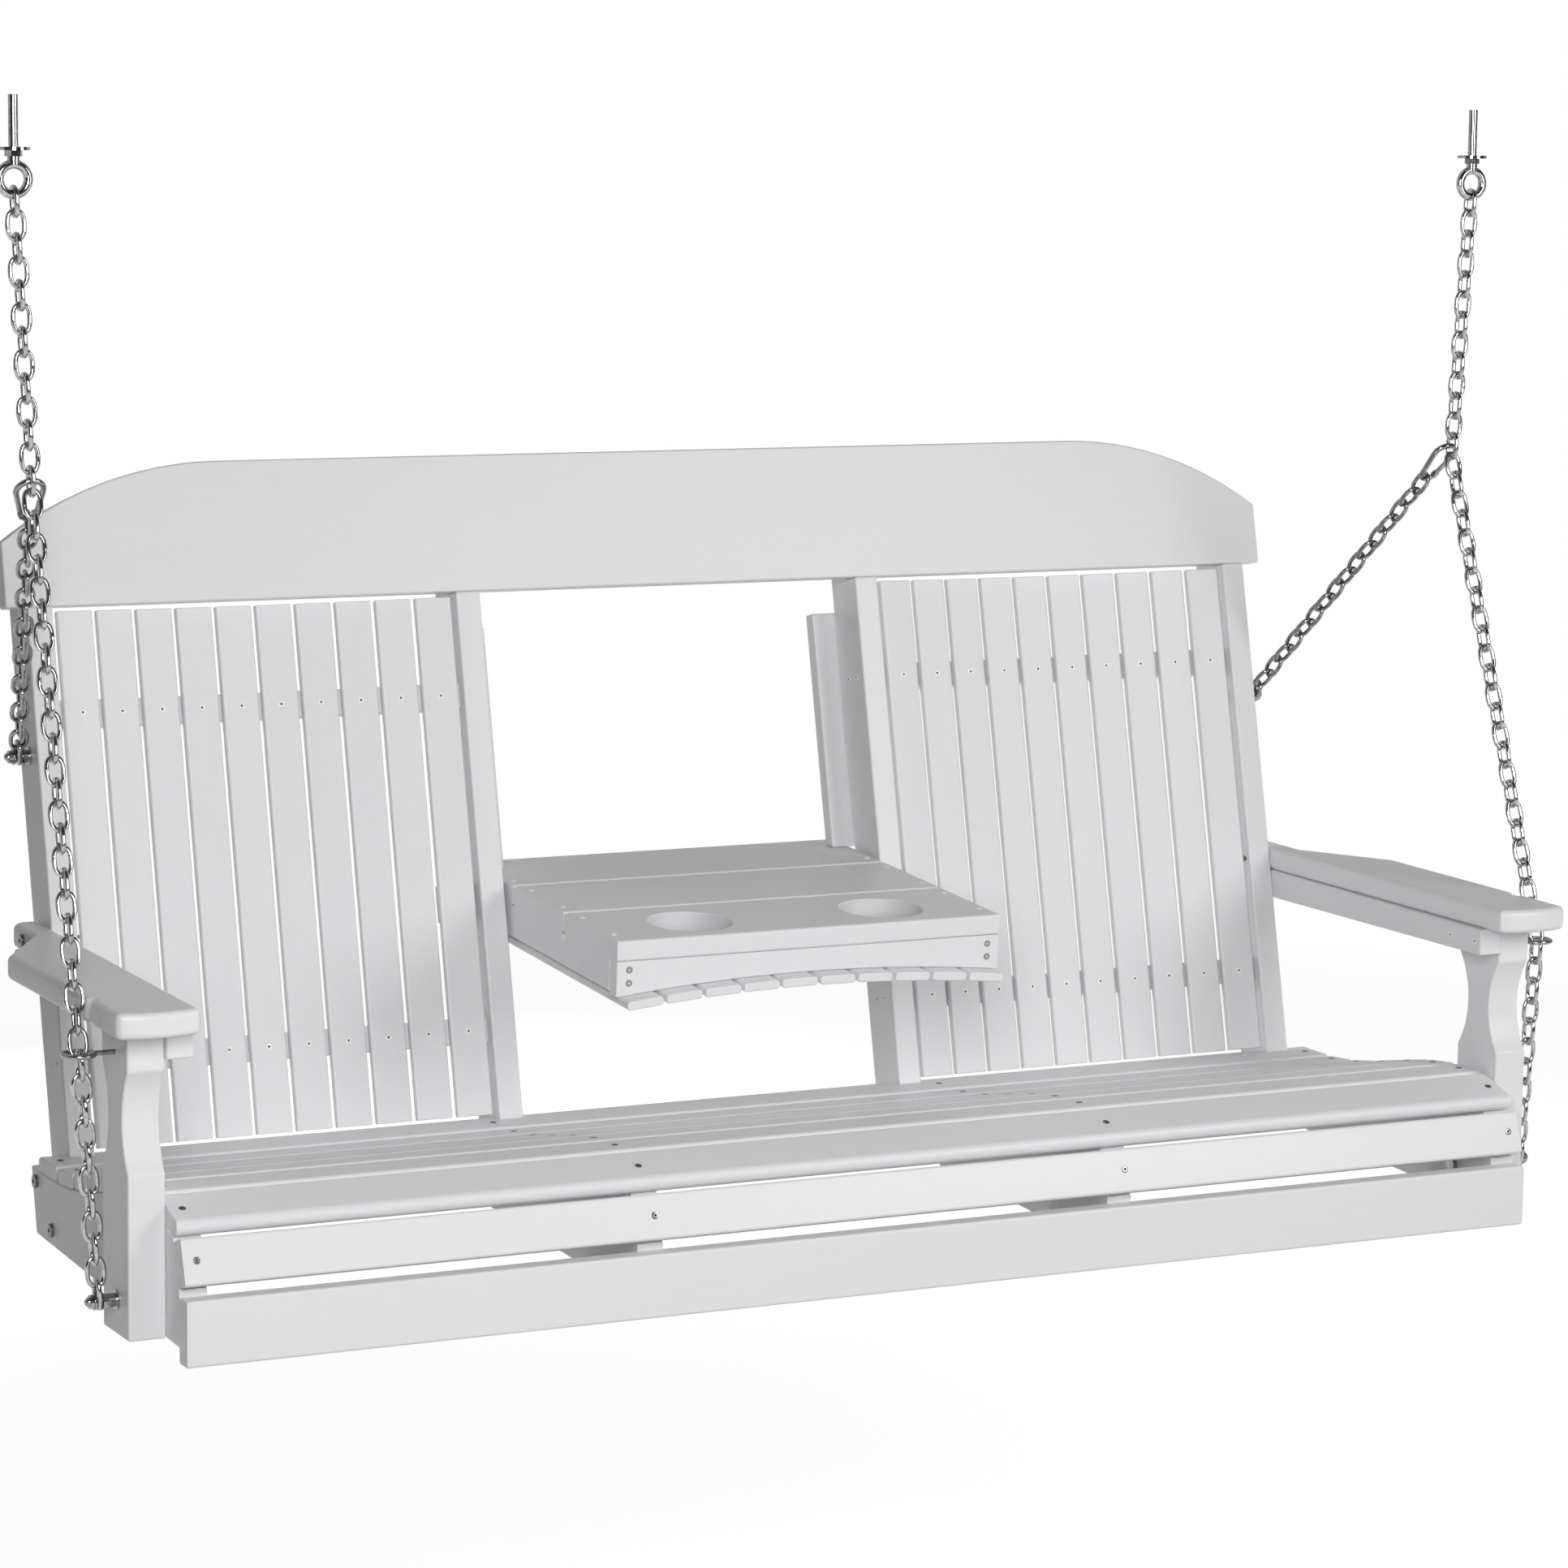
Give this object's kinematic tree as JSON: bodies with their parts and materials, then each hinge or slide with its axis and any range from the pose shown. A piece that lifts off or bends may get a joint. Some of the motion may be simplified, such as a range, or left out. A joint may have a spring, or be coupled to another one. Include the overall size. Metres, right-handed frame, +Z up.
{
  "type": "porch swing seat",
  "caption": "Slatted garden swing seat hung on chains, with an arched back, arms and a fold-up console with cup holes.",
  "frame": {"origin": "midway between the two hanger studs, in the plane of the beam's underside", "axes": "+X along the seat to the right, +Y to the back, +Z up"},
  "size_m": [1.7112, 0.6302, 1.1949],
  "materials": {
    "board": "white moulded poly lumber, satin, slightly textured",
    "screw": "stainless screw heads",
    "chain": "bright zinc-plated welded links",
    "snap_hook": "zinc-plated snap hook",
    "hanger": "zinc-plated eye and stud",
    "chain_bolt": "stainless bolts, washers and nuts",
    "dark_bolt": "dark coated bolts",
    "pivot_block": "white block behind the pivot"
  },
  "bodies": {
    "hangers": {"left_hanger": "hanger", "right_hanger": "hanger"},
    "swing": {"left_main_chain": "chain", "right_main_chain": "chain", "left_rear_chain": "chain", "right_rear_chain": "chain", "left_snap_hook": "snap_hook", "right_snap_hook": "snap_hook", "guide_rings": "chain", "chain_bolts": "chain_bolt", "crown_rail": "board", "left_outer_stile": "board", "left_inner_stile": "board", "right_inner_stile": "board", "right_outer_stile": "board", "left_upper_cross_rail": "board", "left_lower_cross_rail": "board", "right_upper_cross_rail": "board", "right_lower_cross_rail": "board", "left_back_slats": "board", "right_back_slats": "board", "console_stop_strips": "board", "pivot_blocks": "pivot_block", "pivot_bolts": "dark_bolt", "left_end_board": "board", "right_end_board": "board", "left_mid_support": "board", "right_mid_support": "board", "rear_stretcher": "board", "front_stretcher": "board", "seat_nose_slat": "board", "seat_slat_2": "board", "seat_slat_3": "board", "seat_slat_4": "board", "seat_slat_5": "board", "seat_slat_6": "board", "seat_slat_7": "board", "seat_last_slat": "board", "fascia_board": "board", "lower_apron": "board", "left_arm_post": "board", "right_arm_post": "board", "left_arm_apron": "board", "right_arm_apron": "board", "left_arm": "board", "right_arm": "board", "seat_screws": "screw", "back_screws": "screw", "frame_bolts": "dark_bolt"},
    "console": {"console_front_board": "board", "console_middle_board": "board", "console_rear_board": "board", "console_left_side": "board", "console_right_side": "board", "console_front_apron": "board", "console_cross_rails": "board", "console_slats": "board", "console_screws": "screw"},
    "left_gate": {"left_hook_gate": "snap_hook"},
    "right_gate": {"right_hook_gate": "snap_hook"}
  },
  "joints": [
    {"name": "swing_hinge", "type": "hinge", "parent": "hangers", "child": "swing", "pos_m": [0, 0, -0.0455], "axis": [1, 0, 0], "range_deg": [-30, 30]},
    {"name": "console_flip", "type": "hinge", "parent": "swing", "child": "console", "pos_m": [0, 0.24635, -0.81155], "axis": [-1, 0, 0], "range_deg": [0, 106.4]},
    {"name": "left_gate_hinge", "type": "hinge", "parent": "swing", "child": "left_gate", "pos_m": [-0.82191, 0.03495, -0.35584], "axis": [0, 0.7342, 0.679], "range_deg": [0, 15], "stiffness_Nm_per_rad": 0.02, "springref_deg": -17.19},
    {"name": "right_gate_hinge", "type": "hinge", "parent": "swing", "child": "right_gate", "pos_m": [0.82191, 0.03495, -0.35584], "axis": [0, -0.7342, -0.679], "range_deg": [0, 15], "stiffness_Nm_per_rad": 0.02, "springref_deg": -17.19}
  ]
}
